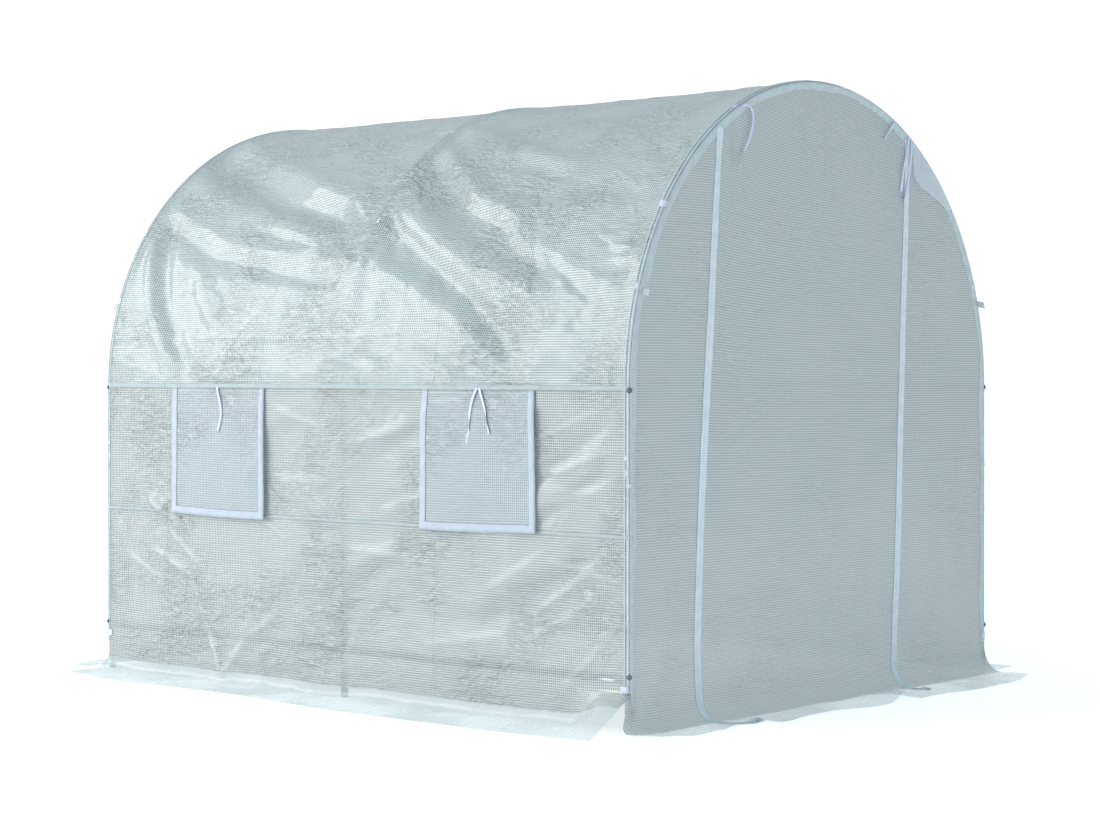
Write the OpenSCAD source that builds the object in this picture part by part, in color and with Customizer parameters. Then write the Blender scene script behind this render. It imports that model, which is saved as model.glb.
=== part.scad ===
// Walk-in polytunnel greenhouse: three bent-tube hoops, lengthwise rails and a
// reinforced film cover with a zipped front door and four roll-up side windows.
// Millimetres, +Z up. The origin is on the ground at the middle of the tunnel.
// The front, with the door, faces -Y.

/* [Tunnel] */
// Width over the cover
tunnel_w = 2000; // [1600:10:2600]
// Length over the cover
tunnel_l = 2460; // [2100:10:3600]
// Height of the eave, where the walls end and the arch begins
eave_h = 1020; // [800:10:1400]

/* [Steel frame] */
// Outside diameter of every tube
tube_d = 25; // [19:1:32]
// Wall of every tube
tube_wall = 1; // [0.8:0.1:2]
// Length of the reduced end of one tube inside the next
spigot_len = 60; // [30:5:120]
// How far the eave rails' axis lies below the eave
eave_rail_drop = 17; // [14:1:30]
// Height of the foot rails' axis
foot_rail_h = 155; // [60:5:300]

/* [Cover] */
// Thickness of the cover sheets
film_t = 2; // [1.5:0.1:3]
// Height of the lower wall seam
lower_seam_h = 580; // [400:5:640]
// Width of the skirts that lie on the ground
skirt_w = 220; // [160:10:350]
// How far a skirt's outer corners are cut back
skirt_mitre = 30; // [10:5:80]
// Width of the flat seams along the walls
seam_w = 16; // [10:1:40]
// Width of the hem along the hoop on each end wall
arch_seam_w = 26; // [16:1:50]
// Thickness of all seams and hems
seam_t = 0.8; // [0.6:0.1:2]

/* [Door] */
// Width between the zips at their upper end
door_head_w = 1040; // [700:10:1200]
// Width between the zips at the ground
door_foot_w = 1100; // [700:10:1200]
// How far the door's head hangs to the left
door_head_shift = 20; // [0:5:60]
// How far the door's foot hangs to the left
door_foot_shift = 135; // [0:5:160]
// Width of each zip with its tape
zip_w = 24; // [16:1:40]
// Thickness of each zip
zip_t = 1.5; // [1:0.1:3]
// Length of zip that runs out along the skirt
zip_tail = 150; // [40:10:180]

/* [Windows] */
// Width of each window opening
window_w = 436; // [250:2:600]
// How far each opening's foot lies above the lower seam
window_sill = 30; // [16:1:80]
// How far the insect screen laps the film round its opening
screen_lap = 12; // [6:1:20]
// Thickness of the insect screen
screen_t = 1; // [0.6:0.1:2]
// Width of the flap's hems
hem_w = 22; // [12:1:40]
// Thickness of the flap's sheet
flap_t = 1.2; // [0.8:0.1:2]
// How far the hems stand above the flap's sheet
hem_rise = 1; // [0.5:0.1:2]

/* [Ties] */
// Width of the tie ribbons
ribbon_w = 9; // [6:1:14]
// Thickness of the tie ribbons
ribbon_t = 1.2; // [0.8:0.1:2]
// Width of the straps that hold the cover to the end hoops
strap_w = 24; // [12:1:40]
// Thickness of the straps
strap_t = 1.2; // [0.8:0.1:2]
// Height of the guy tabs sewn into the arch seams
tab_h = 20; // [12:1:40]
// How far the guy tabs stand out
tab_reach = 28; // [15:1:60]

/* [Hidden] */

$fn = 64;

fit = 0.3;              // clearance between pieces that bear on each other
cut = 1;                // how far a cutting shape runs past what it cuts
tube_r = tube_d / 2;
bore_d = tube_d - 2 * tube_wall;
spigot_d = bore_d - fit;
shoulder = 3;           // solid ring between a tube's full part and its spigot

half_w = tunnel_w / 2;
half_l = tunnel_l / 2;
hoop_r = half_w - film_t - fit - tube_r;     // the hoops' centre line
hoop_end_y = half_l - film_t - fit - tube_r;
hoop_ys = [-hoop_end_y, 0, hoop_end_y];
eave_rail_h = eave_h - eave_rail_drop;

gable_r = half_w - film_t - fit;             // the end walls fit inside the roof sheet
seam_inner_r = gable_r - arch_seam_w;
skirt_top = film_t + fit;

window_y = tunnel_l / 4;                     // each window is in the middle of its bay
window_top = eave_rail_h - tube_r - fit - screen_lap;   // the screen ends just under the eave rail
window_h = window_top - lower_seam_h - window_sill;
flap_x = half_w + seam_t + 2 * fit;          // flaps lie over the wall seams
flap_w = window_w + 2 * hem_w;
flap_bottom = lower_seam_h - seam_w / 2;

strap_clear = acos((tube_r - fit) / (tube_r + fit + strap_t)) + 4;  // strap ends stop short of the film
strap_leg_hs = [118, 770];                   // straps on the legs, heights
strap_arch_as = [18, 34, 62, 86];            // straps on the arches, degrees above the eave
tab_a = 16;                                  // guy tabs, degrees above the eave

// Tie routes: [along the wall, height below the eave, distance out from the film].
window_tie_a = [[0, 0, 0.7], [-6, -14, 4], [-14, -32, 5], [-22, -58, 6], [-27, -88, 6],
    [-29, -118, 6], [-33, -146, 6], [-40, -172, 6]];
window_tie_b = [[10, 0, 0.7], [17, -14, 4], [26, -34, 5], [36, -60, 6], [43, -86, 6],
    [48, -112, 6], [56, -142, 6]];
window_tie_c = [[0, 0, 0.7], [4, -14, 4], [12, -36, 5], [20, -60, 6], [24, -86, 6], [22, -112, 6],
    [14, -136, 6], [6, -156, 6]];
// Tie routes on the door: [across, height above the ground, distance out from the film].
door_tie_a = [[-446, 1898, 2.2], [-436, 1906, 4], [-414, 1902, 6], [-400, 1884, 6], [-398, 1856, 6],
    [-406, 1826, 6], [-422, 1794, 6], [-442, 1764, 6], [-462, 1738, 6], [-478, 1714, 6]];
door_tie_b = [[408, 1916, 2.2], [396, 1906, 4], [380, 1892, 6], [362, 1874, 6], [344, 1854, 6]];
door_tie_c = [[512, 1862, 2.2], [510, 1846, 4], [506, 1816, 6], [500, 1782, 6], [492, 1748, 6],
    [482, 1714, 6], [470, 1680, 6], [458, 1648, 6]];
door_tie_d = [[496, 1874, 2.2], [490, 1856, 4], [480, 1828, 6], [468, 1794, 6], [458, 1758, 6],
    [449, 1720, 6], [441, 1684, 6]];

// ---- steel frame ----

module tube(length, d = tube_d, bore = bore_d) {
    difference() {
        cylinder(d = d, h = length);
        translate([0, 0, -cut]) cylinder(d = bore, h = length + 2 * cut);
    }
}

// A stretch of a bent round bar in the XZ plane, about the origin, from angle a0 over span degrees.
module bent_bar(a0, span, d) {
    rotate([90, 0, 0]) rotate([0, 0, a0]) rotate_extrude(angle = span)
        translate([hoop_r, 0]) circle(d = d);
}

module legs(y) {
    color("gainsboro") for (side = [-1, 1])
        translate([side * hoop_r, y, 0]) tube(eave_h - shoulder);
}

// A quarter of a hoop. Its foot is a spigot that enters the leg; the left-hand one has another at
// its top, which enters the right-hand one.
module right_arch(top_spigot) {
    shoulder_a = shoulder / hoop_r * 180 / PI;
    spigot_a = spigot_len / hoop_r * 180 / PI;
    spigot_bore = spigot_d - 2 * tube_wall;
    end_a = 90 + (top_spigot ? spigot_a : 0);
    difference() {
        union() {
            bent_bar(0, 90, tube_d);
            if (top_spigot) bent_bar(45, end_a - 45, spigot_d);
        }
        bent_bar(-shoulder_a, 90 + (top_spigot ? 0 : 2 * shoulder_a), bore_d);
        if (top_spigot) bent_bar(45, end_a - 45 + shoulder_a, spigot_bore);
    }
    translate([hoop_r, 0, -shoulder]) tube(shoulder, tube_d, spigot_bore);
    translate([hoop_r, 0, -shoulder - spigot_len]) tube(spigot_len, spigot_d, spigot_bore);
}

module arch(side, y) {
    color("gainsboro") translate([0, y, eave_h])
        mirror([side < 0 ? 1 : 0, 0, 0]) right_arch(side < 0);
}

// One rail is a tube in each bay, its ends coped round the hoops.
module rail(x, z, hoop_axis) {
    for (bay = [0, 1])
        difference() {
            translate([x, hoop_ys[bay], z]) rotate([-90, 0, 0])
                tube(hoop_ys[bay + 1] - hoop_ys[bay]);
            for (y = [hoop_ys[bay], hoop_ys[bay + 1]])
                translate([x, y, z]) rotate(hoop_axis)
                    cylinder(r = tube_r + fit, h = 4 * tube_d, center = true);
        }
}

module ridge_rail() color("gainsboro") rail(0, eave_h + hoop_r, [0, 90, 0]);

module side_rails(z) color("gainsboro") for (side = [-1, 1]) rail(side * hoop_r, z, [0, 0, 0]);

// ---- cover ----

// The outline of an end wall, standing on the ground, from y towards +Y.
module gable_slab(r, y, t) {
    translate([0, y, eave_h]) rotate([-90, 0, 0]) difference() {
        cylinder(r = r, h = t, $fn = 180);
        translate([-2 * r, 0, -cut]) cube([4 * r, 2 * r, t + 2 * cut]);
    }
    translate([-r, y, 0]) cube([2 * r, t, eave_h]);
}

module roof_sheet() {
    color("lightcyan") translate([0, -half_l, eave_h]) rotate([-90, 0, 0]) difference() {
        cylinder(r = half_w, h = tunnel_l, $fn = 180);
        translate([0, 0, -cut]) cylinder(r = half_w - film_t, h = tunnel_l + 2 * cut, $fn = 180);
        translate([-tunnel_w, 0, -cut]) cube([2 * tunnel_w, tunnel_w, tunnel_l + 2 * cut]);
    }
}

module wall_strip(side, z0, z1) {
    translate([side > 0 ? half_w - film_t : -half_w, -half_l, z0])
        cube([film_t, tunnel_l, z1 - z0]);
}

// The band is pieced beside each window, under the flap's hems.
module window_band(side) {
    color("lightcyan") difference() {
        wall_strip(side, lower_seam_h, eave_h - fit);
        for (y = [-window_y, window_y]) {
            translate([side * half_w - film_t - cut, y - window_w / 2, window_top - window_h])
                cube([2 * (film_t + cut), window_w, window_h]);
            for (edge = [y - window_w / 2 - fit, y + window_w / 2])
                translate([side * half_w - film_t - cut, edge, lower_seam_h - cut])
                    cube([2 * (film_t + cut), fit, eave_h - lower_seam_h + 2 * cut]);
        }
    }
}

module lower_wall(side) color("lightcyan") wall_strip(side, 0, lower_seam_h - fit);

function zip_foot_x(side) = side * door_foot_w / 2 - door_foot_shift;
function zip_head_x(side) = side * door_head_w / 2 - door_head_shift;

// The strip of the front between two lines that follow the zips; offsets move them sideways.
module front_strip(foot0, head0, foot1, head1, y, t) {
    top = eave_h + half_w;
    translate([0, y + t, 0]) rotate([90, 0, 0]) linear_extrude(t)
        polygon([[foot0, 0], [foot1, 0], [head1, top], [head0, top]]);
}

module front_wall(side) {
    edge = side * fit;
    color("lightcyan") intersection() {
        gable_slab(gable_r, -half_l, film_t);
        if (side < 0)
            front_strip(-tunnel_w, -tunnel_w, zip_foot_x(-1) + edge, zip_head_x(-1) + edge,
                -half_l - cut, film_t + 2 * cut);
        else
            front_strip(zip_foot_x(1) + edge, zip_head_x(1) + edge, tunnel_w, tunnel_w,
                -half_l - cut, film_t + 2 * cut);
    }
}

module door_panel() {
    color("lightcyan") intersection() {
        gable_slab(gable_r, -half_l, film_t);
        front_strip(zip_foot_x(-1), zip_head_x(-1), zip_foot_x(1), zip_head_x(1),
            -half_l - cut, film_t + 2 * cut);
    }
}

module rear_wall() color("lightcyan") gable_slab(gable_r, half_l - film_t, film_t);

// Each zip climbs from the skirt to the arch seam, and a tail of it runs out along the skirt.
module door_zip(side) {
    foot = zip_foot_x(side);
    head = zip_head_x(side);
    outer_y = -half_l - fit - zip_t;
    tail_top = skirt_top + zip_t;
    color("aliceblue") {
        intersection() {
            gable_slab(seam_inner_r - fit, outer_y, zip_t);
            front_strip(foot - zip_w / 2, head - zip_w / 2, foot + zip_w / 2, head + zip_w / 2,
                outer_y - cut, zip_t + 2 * cut);
            translate([-half_w, outer_y - cut, tail_top + fit])
                cube([tunnel_w, zip_t + 2 * cut, eave_h + half_w]);
        }
        translate([foot - zip_w / 2, -half_l - zip_tail, skirt_top])
            cube([zip_w, zip_tail - fit, zip_t]);
    }
}

// A skirt along a wall: its inner edge from a to b, its outer corners cut back by c0 and c1.
module skirt_slab(a, b, c0, c1) {
    linear_extrude(film_t)
        polygon([[a, 0], [b, 0], [b - c1, -skirt_w], [a + c0, -skirt_w]]);
}

module side_skirt(side) {
    color("azure") translate([side * (half_w + fit), 0, 0]) rotate([0, 0, side * 90])
        skirt_slab(-half_l, half_l, skirt_mitre, skirt_mitre);
}

module rear_skirt() {
    color("azure") translate([0, half_l + fit, 0]) rotate([0, 0, 180])
        skirt_slab(-gable_r, gable_r, skirt_mitre, skirt_mitre);
}

module front_skirt() {
    color("azure") translate([0, -half_l - fit, 0]) {
        skirt_slab(-gable_r, zip_foot_x(-1) - fit, skirt_mitre, 0);
        skirt_slab(zip_foot_x(1) + fit, gable_r, 0, skirt_mitre);
    }
}

module door_skirt() {
    color("azure") translate([0, -half_l - fit, 0])
        skirt_slab(zip_foot_x(-1), zip_foot_x(1), 0, 0);
}

// ---- windows ----

// A flap hangs from the eave over its opening; hems run down both sides and along the foot.
module window_flap(side, y) {
    flap_h = eave_h - flap_bottom;
    color("white") translate([side * flap_x, y, flap_bottom]) rotate([0, 0, side > 0 ? 0 : 180])
        translate([0, -flap_w / 2, 0]) {
            cube([flap_t, flap_w, flap_h]);
            for (hem_y = [0, flap_w - hem_w])
                translate([0, hem_y, 0]) cube([flap_t + hem_rise, hem_w, flap_h]);
            cube([flap_t + hem_rise, flap_w, hem_w]);
        }
}

module window_screens() {
    inner_x = half_w - film_t - fit - screen_t;
    color("lightgray") for (side = [-1, 1], y = [-window_y, window_y])
        translate([side > 0 ? inner_x : -inner_x - screen_t, y - window_w / 2 - screen_lap,
                window_top - window_h - screen_lap])
            cube([screen_t, window_w + 2 * screen_lap, window_h + 2 * screen_lap]);
}

// ---- seams, straps and ties ----

module wall_seams() {
    color("white") for (side = [-1, 1], z = [lower_seam_h, eave_h])
        translate([side > 0 ? half_w + fit : -half_w - fit - seam_t, -half_l, z - seam_w / 2])
            cube([seam_t, tunnel_l, seam_w]);
}

// The hem along the front hoop, with the two guy tabs sewn into it.
module front_arch_seam() {
    difference() {
        gable_slab(gable_r, -half_l - fit - seam_t, seam_t);
        gable_slab(seam_inner_r, -half_l - fit - seam_t - cut, seam_t + 2 * cut);
        translate([-half_w, -half_l - 2 * cut, -cut]) cube([tunnel_w, 4 * cut, cut + skirt_top]);
    }
    for (side = [-1, 1])
        translate([0, -half_l - fit - tab_reach, eave_h]) mirror([side < 0 ? 1 : 0, 0, 0])
            rotate([0, -tab_a, 0]) translate([gable_r - arch_seam_w / 2, 0, -tab_h / 2])
                cube([ribbon_t, tab_reach, tab_h]);
}

module arch_seams() {
    color("white") for (flip = [0, 1]) mirror([0, flip, 0]) front_arch_seam();
}

// A strap passes round a tube on the side away from both films. The tube's axis is Z, the roof
// sheet lies towards +X and the end wall towards -Y.
module strap() {
    rotate([0, 0, strap_clear])
        rotate_extrude(angle = 270 - 2 * strap_clear)
            translate([tube_r + fit, -strap_w / 2]) square([strap_t, strap_w]);
}

module front_right_straps() {
    for (z = strap_leg_hs)
        translate([hoop_r, -hoop_end_y, z]) strap();
    for (a = strap_arch_as)
        translate([0, -hoop_end_y, eave_h]) rotate([0, -a, 0]) translate([hoop_r, 0, 0]) strap();
}

module hoop_straps() {
    color("white") for (flip_x = [0, 1], flip_y = [0, 1])
        mirror([flip_x, 0, 0]) mirror([0, flip_y, 0]) front_right_straps();
}

// A ribbon swept along pts, flat to the direction out, with sides faces round it.
function ribbon_ring(p, along, out, sides) =
    let (across = cross(along, out) / norm(cross(along, out)))
    [for (i = [0:sides - 1])
        let (a = 360 * i / sides)
        p + cos(a) * ribbon_w / 2 * across + sin(a) * ribbon_t / 2 * out];

module ribbon(pts, out, sides = 8) {
    last = len(pts) - 1;
    rings = [for (i = [0:last])
        ribbon_ring(pts[i], pts[min(i + 1, last)] - pts[max(i - 1, 0)], out, sides)];
    corners = [for (ring = rings) each ring];
    walls = [for (i = [0:last - 1], j = [0:sides - 1])
        let (k = (j + 1) % sides)
        [i * sides + j, i * sides + k, (i + 1) * sides + k, (i + 1) * sides + j]];
    first_cap = [for (j = [sides - 1:-1:0]) j];
    last_cap = [for (j = [0:sides - 1]) last * sides + j];
    polyhedron(corners, concat(walls, [first_cap, last_cap]));
}

module window_tie(side, y, route) {
    color("white")
        ribbon([for (p = route) [side * (flap_x + flap_t + fit + p[2]), y - p[0], eave_h + p[1]]],
            [side, 0, 0]);
}

module door_tie(route) {
    color("white") ribbon([for (p = route) [p[0], -half_l - p[2], p[1]]], [0, -1, 0]);
}

// ---- nodes ----

legs(hoop_ys[0]);  // front_legs
legs(hoop_ys[1]);  // middle_legs
legs(hoop_ys[2]);  // rear_legs
arch(-1, hoop_ys[0]);  // front_left_arch
arch(1, hoop_ys[0]);  // front_right_arch
arch(-1, hoop_ys[1]);  // middle_left_arch
arch(1, hoop_ys[1]);  // middle_right_arch
arch(-1, hoop_ys[2]);  // rear_left_arch
arch(1, hoop_ys[2]);  // rear_right_arch
ridge_rail();
side_rails(eave_rail_h);  // eave_rails
side_rails(foot_rail_h);  // foot_rails
roof_sheet();
window_band(-1);  // left_window_band
window_band(1);  // right_window_band
lower_wall(-1);  // left_lower_wall
lower_wall(1);  // right_lower_wall
front_wall(-1);  // front_wall_left
front_wall(1);  // front_wall_right
rear_wall();
door_panel();
for (side = [-1, 1]) door_zip(side);  // door_zips
side_skirt(-1);  // left_skirt
side_skirt(1);  // right_skirt
rear_skirt();
front_skirt();
door_skirt();
window_flap(-1, -window_y);  // left_front_window_flap
window_flap(-1, window_y);  // left_rear_window_flap
window_flap(1, -window_y);  // right_front_window_flap
window_flap(1, window_y);  // right_rear_window_flap
window_screens();
wall_seams();
arch_seams();
hoop_straps();
window_tie(-1, -window_y, window_tie_a);  // left_front_window_tie_a
window_tie(-1, -window_y, window_tie_b);  // left_front_window_tie_b
window_tie(-1, window_y, window_tie_c);  // left_rear_window_tie
window_tie(1, -window_y, window_tie_a);  // right_front_window_tie_a
window_tie(1, -window_y, window_tie_b);  // right_front_window_tie_b
window_tie(1, window_y, window_tie_c);  // right_rear_window_tie
door_tie(door_tie_a);  // door_tie_left
door_tie(door_tie_b);  // door_tie_right_short
door_tie(door_tie_c);  // door_tie_right_a
door_tie(door_tie_d);  // door_tie_right_b
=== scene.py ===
# Walk-in polytunnel: net-reinforced film over bent tube hoops. Metres, +Z up, door towards -Y.
import math
import bpy
import bmesh
from mathutils import Matrix, Vector, noise


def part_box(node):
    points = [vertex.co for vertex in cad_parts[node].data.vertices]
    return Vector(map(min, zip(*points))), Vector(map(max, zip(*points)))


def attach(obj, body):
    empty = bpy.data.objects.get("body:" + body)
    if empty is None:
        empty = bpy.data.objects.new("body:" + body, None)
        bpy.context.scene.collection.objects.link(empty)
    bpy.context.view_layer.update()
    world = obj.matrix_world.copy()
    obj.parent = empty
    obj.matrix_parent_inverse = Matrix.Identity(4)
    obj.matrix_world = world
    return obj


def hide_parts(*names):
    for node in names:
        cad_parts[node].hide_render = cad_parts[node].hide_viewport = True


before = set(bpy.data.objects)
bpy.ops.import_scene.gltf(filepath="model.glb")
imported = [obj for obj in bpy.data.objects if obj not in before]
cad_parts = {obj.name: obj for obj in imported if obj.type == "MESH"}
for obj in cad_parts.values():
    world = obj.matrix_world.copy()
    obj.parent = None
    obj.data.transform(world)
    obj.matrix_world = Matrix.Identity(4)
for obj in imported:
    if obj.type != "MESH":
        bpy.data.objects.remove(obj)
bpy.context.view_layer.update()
print("frame loaded:", len(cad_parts), "nodes")
noise.seed_set(5)                   # the same crinkles on every run

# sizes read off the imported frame
roofLow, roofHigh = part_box("roof_sheet")
halfWidth, halfLength, eaveHeight = roofHigh.x, roofHigh.y, roofLow.z
archRadius = roofHigh.z - eaveHeight
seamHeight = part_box("left_lower_wall")[1].z
legLow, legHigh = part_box("front_legs")
tubeRadius = (legHigh.y - legLow.y) / 2
hoopY = -(legHigh.y + legLow.y) / 2
hoopRadius = legHigh.x - tubeRadius
railLow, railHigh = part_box("foot_rails")
footRailHeight = (railLow.z + railHigh.z) / 2
railLow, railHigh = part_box("eave_rails")
eaveRailHeight = (railLow.z + railHigh.z) / 2
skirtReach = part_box("right_skirt")[1].x - halfWidth
flapBoxes = {f"{side}_{end}_window_flap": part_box(f"{side}_{end}_window_flap")
             for side in ("left", "right") for end in ("front", "rear")}
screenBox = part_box("window_screens")
filmGap = 0.0008                    # film rides this far off the tubes
wrapRadius = tubeRadius + filmGap
frontY = hoopY + wrapRadius         # how far out the end walls hang
filmEnd = hoopY + wrapRadius * math.pi / 2
crownArc = math.pi / 2 * archRadius
crownReach = 2 * crownArc
sides = ((-1, "left"), (1, "right"))
ends = ((-1, "front"), (1, "rear"))

look = {"place": (-6.491, -5.770, 1.0714), "turn": -48.66, "lens": 78.93, "sensor": 36,
        "shiftX": -0.0051, "shiftY": -0.0368}


def makeCamera():
    data = bpy.data.cameras.new("camera")
    data.lens = look["lens"]
    data.sensor_width = look["sensor"]
    data.shift_x = look["shiftX"]
    data.shift_y = look["shiftY"]
    camera = bpy.data.objects.new("camera", data)
    camera.location = look["place"]
    camera.rotation_euler = (math.pi / 2, 0, math.radians(look["turn"]))
    bpy.context.scene.collection.objects.link(camera)
    bpy.context.scene.camera = camera


makeCamera()
print("camera placed")


def newPiece(name, bm, material, smooth=True):
    mesh = bpy.data.meshes.new(name)
    bm.to_mesh(mesh)
    bm.free()
    for face in mesh.polygons:
        face.use_smooth = smooth
    piece = bpy.data.objects.new(name, mesh)
    piece.data.materials.append(material)
    bpy.context.scene.collection.objects.link(piece)
    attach(piece, "root")
    return piece


def bentGrid(columns, rows, place, layout, outward, holes=()):
    # a flat grid, with its UVs in metres of flat film, that place() bends into shape
    bm = bmesh.new()
    bmesh.ops.create_grid(bm, x_segments=columns, y_segments=rows, size=0.5,
                          matrix=Matrix.Translation((0.5, 0.5, 0)))
    for low, high, bottom, top in holes:
        for point, normal in (((low, 0, 0), (1, 0, 0)), ((high, 0, 0), (1, 0, 0)),
                              ((0, bottom, 0), (0, 1, 0)), ((0, top, 0), (0, 1, 0))):
            bmesh.ops.bisect_plane(bm, geom=bm.verts[:] + bm.edges[:] + bm.faces[:], dist=1e-6,
                                   plane_co=point, plane_no=normal)
        inside = [face for face in bm.faces if low < face.calc_center_median().x < high
                  and bottom < face.calc_center_median().y < top]
        bmesh.ops.delete(bm, geom=inside, context="FACES")
    uvs = bm.loops.layers.uv.new("flat")
    for face in bm.faces:
        for loop in face.loops:
            loop[uvs].uv = layout(loop.vert.co.x, loop.vert.co.y)
    for vert in bm.verts:
        vert.co = place(vert.co.x, vert.co.y)
    bm.normal_update()
    facing = sum(face.normal.dot(outward(face.calc_center_median())) for face in bm.faces)
    if facing < 0:
        bmesh.ops.reverse_faces(bm, faces=bm.faces)
    return bm


def declareSheet(piece):
    # the flat cut is what the UVs say, since they are metres of flat film
    uvs = [uv.uv.copy() for uv in piece.data.uv_layers["flat"].data]
    area = 0
    for face in piece.data.polygons:
        corners = [uvs[i] for i in face.loop_indices]
        crossed = (a.x * b.y - a.y * b.x for a, b in zip(corners, corners[1:] + corners[:1]))
        area += abs(sum(crossed)) / 2


def solidify(piece, thickness, offset=0):
    modifier = piece.modifiers.new("thickness", "SOLIDIFY")
    modifier.thickness = thickness
    modifier.offset = offset
    return piece


def mix(a, b, share):
    return a + (b - a) * share


def smoothStep(low, high, value):
    share = min(1, max(0, (value - low) / (high - low)))
    return share * share * (3 - 2 * share)


def smoothPath(points, steps):
    # a smooth line through the points, at even steps of its parameter
    line = []
    for i in range(len(points) - 1):
        p0, p1 = points[max(i - 1, 0)], points[i]
        p2, p3 = points[i + 1], points[min(i + 2, len(points) - 1)]
        for step in range(steps):
            t = step / steps
            line.append(0.5 * ((2 * p1) + (p2 - p0) * t + (2 * p0 - 5 * p1 + 4 * p2 - p3) * t ** 2
                               + (3 * p1 - p0 - 3 * p2 + p3) * t ** 3))
    line.append(points[-1].copy())
    return line


def pathLength(points):
    return sum((b - a).length for a, b in zip(points, points[1:]))


def pathFrame(points, share):
    # place and direction at a share of the way along
    place = share * (len(points) - 1)
    i = min(int(place), len(points) - 2)
    here = points[i].lerp(points[i + 1], place - i)
    before, after = points[max(i - 1, 0)], points[min(i + 2, len(points) - 1)]
    return here, (after - before).normalized()


def shaderTree(name):
    material = bpy.data.materials.new(name)
    material.use_nodes = True
    material.node_tree.nodes.clear()
    return material, material.node_tree


def feed(tree, socket, value):
    # links a socket, or sets a plain value; a colour of three numbers gets its alpha
    if isinstance(value, bpy.types.NodeSocket):
        tree.links.new(value, socket)
    elif socket.type == "RGBA" and len(value) == 3:
        socket.default_value = (*value, 1)
    else:
        socket.default_value = value


def addNode(tree, kind, settings=None, **inputs):
    # inputs go by their name, or as i0, i1 and so on by their place
    node = tree.nodes.new("ShaderNode" + kind)
    for key, value in (settings or {}).items():
        setattr(node, key, value)
    for key, value in inputs.items():
        byPlace = key[0] == "i" and key[1:].isdigit()
        feed(tree, node.inputs[int(key[1:]) if byPlace else key.replace("_", " ")], value)
    return node


def mathNode(tree, operation, a, b=0.5, c=0.5):
    return addNode(tree, "Math", {"operation": operation}, i0=a, i1=b, i2=c).outputs[0]


def ramp(tree, value, low, high, start=0.0, end=1.0):
    return addNode(tree, "MapRange", {"interpolation_type": "SMOOTHSTEP"}, Value=value,
                   From_Min=low, From_Max=high, To_Min=start, To_Max=end).outputs["Result"]


def blendColour(tree, share, a, b):
    return addNode(tree, "Mix", {"data_type": "RGBA"}, i0=share, i6=a, i7=b).outputs[2]


def noiseNode(tree, vector, scale, detail=2.0, roughness=0.5, distortion=0.0):
    return addNode(tree, "TexNoise", Vector=vector, Scale=scale, Detail=detail,
                   Roughness=roughness, Distortion=distortion).outputs[0]


def noiseRamp(tree, vector, scale, detail, start=0.0, end=1.0, low=0.3, high=0.7):
    return ramp(tree, noiseNode(tree, vector, scale, detail), low, high, start, end)


def ridges(tree, vector, scale, detail, distortion):
    # 0 along the ridge lines of a noise
    waves = noiseNode(tree, vector, scale, detail, 0.6, distortion)
    return mathNode(tree, "ABSOLUTE", mathNode(tree, "SUBTRACT", waves, 0.5))


def lines(tree, axis, half, inner, outer, strength=1.0):
    # straight lines, two halves apart
    return ramp(tree, mathNode(tree, "PINGPONG", axis, half), inner, outer, strength, 0.0)


def flatSpots(tree):
    # metres of flat cloth or film, and their two parts
    flat = addNode(tree, "TexCoord").outputs["UV"]
    split = addNode(tree, "SeparateXYZ", Vector=flat)
    return flat, split.outputs["X"], split.outputs["Y"]


def bumpNode(tree, height, strength=1.0, distance=1.0):
    return addNode(tree, "Bump", Height=height, Strength=strength, Distance=distance).outputs[0]


def skinNode(tree, colour, rough, normal, **inputs):
    return addNode(tree, "BsdfPrincipled", Base_Color=colour, Roughness=rough, Normal=normal,
                   **inputs).outputs[0]


def mixShader(tree, share, a, b):
    return addNode(tree, "MixShader", i0=share, i1=a, i2=b).outputs[0]


def seeThrough(tree, share, shader, tint=(1, 1, 1)):
    return mixShader(tree, share, shader, addNode(tree, "BsdfTransparent", Color=tint).outputs[0])


def shade(tint, share):
    return tuple(min(1, part * share) for part in tint)


clearTint = (0.93, 0.97, 0.98)


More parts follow.
